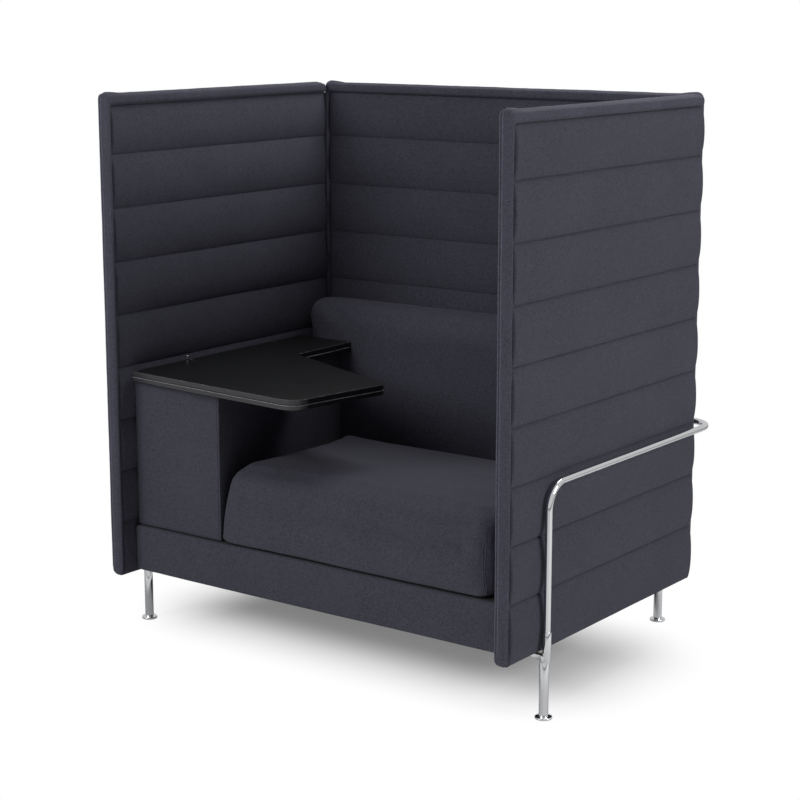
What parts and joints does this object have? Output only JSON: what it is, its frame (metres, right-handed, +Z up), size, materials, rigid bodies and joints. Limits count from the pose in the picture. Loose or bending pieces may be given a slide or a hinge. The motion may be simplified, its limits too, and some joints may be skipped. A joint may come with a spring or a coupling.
{
  "type": "acoustic high back lounge chair",
  "caption": "High back lounge chair with quilted fabric panels on three sides, a boxed seat, a side worktop over an arm box, and bent chrome side rails on legs with levelling glides.",
  "frame": {"origin": "centre of the footprint, on the floor", "axes": "+Z up, +Y towards the back of the chair, +X to the right of someone looking at its front"},
  "size_m": [1.254, 0.932, 1.365],
  "materials": {
    "quilted_fabric": "matte woven wool, quilted in horizontal channels",
    "border_fabric": "matte woven wool border",
    "plain_fabric": "matte woven wool",
    "panel_core": "raw board",
    "plywood": "raw plywood",
    "webbing": "elastic webbing",
    "lining": "non-woven lining",
    "worktop": "dark satin board with grey-black edges",
    "bumper": "soft matte",
    "zip": "moulded teeth on tape",
    "chrome": "polished",
    "steel": "plated"
  },
  "bodies": {
    "chair": {"left_panel_core": "panel_core", "left_panel_inner_pad": "quilted_fabric", "left_panel_outer_pad": "quilted_fabric", "left_panel_edge_roll": "border_fabric", "right_panel_core": "panel_core", "right_panel_inner_pad": "quilted_fabric", "right_panel_outer_pad": "quilted_fabric", "right_panel_edge_roll": "border_fabric", "back_panel_core": "panel_core", "back_panel_inner_pad": "quilted_fabric", "back_panel_outer_pad": "quilted_fabric", "back_panel_edge_roll": "border_fabric", "left_corner_zip": "zip", "right_corner_zip": "zip", "left_side_rail": "chrome", "right_side_rail": "chrome", "front_left_bracket": "chrome", "front_left_leg": "chrome", "front_left_bolt": "steel", "rear_left_bracket": "chrome", "rear_left_leg": "chrome", "rear_left_bolt": "steel", "front_right_bracket": "chrome", "front_right_leg": "chrome", "front_right_bolt": "steel", "rear_right_bracket": "chrome", "rear_right_leg": "chrome", "rear_right_bolt": "steel", "base_front_rail": "plywood", "base_rear_rail": "plywood", "base_left_rail": "plywood", "base_right_rail": "plywood", "seat_webbing_1": "webbing", "seat_webbing_2": "webbing", "seat_webbing_3": "webbing", "seat_deck": "lining", "base_dust_cover": "lining", "base_front_pad": "plain_fabric", "base_rear_pad": "plain_fabric", "base_left_pad": "plain_fabric", "base_right_pad": "plain_fabric", "arm_box_carcass": "plywood", "arm_box_cover": "plain_fabric", "worktop_lower_board": "worktop", "worktop_bumper_front": "bumper", "worktop_bumper_rear": "bumper", "pivot_post_front": "chrome", "pivot_post_rear": "steel", "seat_cushion": "plain_fabric", "back_cushion": "plain_fabric"},
    "leaf": {"worktop_leaf": "worktop", "pivot_pin_front": "steel", "pivot_pin_rear": "steel"},
    "front_left_foot": {"front_left_glide": "chrome"},
    "front_right_foot": {"front_right_glide": "chrome"},
    "rear_left_foot": {"rear_left_glide": "chrome"},
    "rear_right_foot": {"rear_right_glide": "chrome"},
    "left_slider": {"left_zip_slider": "steel"},
    "right_slider": {"right_zip_slider": "steel"}
  },
  "joints": [
    {"name": "leaf_lift", "type": "hinge", "parent": "chair", "child": "leaf", "pos_m": [-0.55125, -0.1135, 0.67125], "axis": [0, -1, 0], "range_deg": [0, 90]},
    {"name": "front_left_levelling", "type": "slide", "parent": "chair", "child": "front_left_foot", "axis": [0, 0, -1], "range_m": [0, 0.01]},
    {"name": "front_right_levelling", "type": "slide", "parent": "chair", "child": "front_right_foot", "axis": [0, 0, -1], "range_m": [0, 0.01]},
    {"name": "rear_left_levelling", "type": "slide", "parent": "chair", "child": "rear_left_foot", "axis": [0, 0, -1], "range_m": [0, 0.01]},
    {"name": "rear_right_levelling", "type": "slide", "parent": "chair", "child": "rear_right_foot", "axis": [0, 0, -1], "range_m": [0, 0.01]},
    {"name": "left_zip", "type": "slide", "parent": "chair", "child": "left_slider", "axis": [0, 0, 1], "range_m": [0, 1.1]},
    {"name": "right_zip", "type": "slide", "parent": "chair", "child": "right_slider", "axis": [0, 0, 1], "range_m": [0, 1.1]}
  ]
}
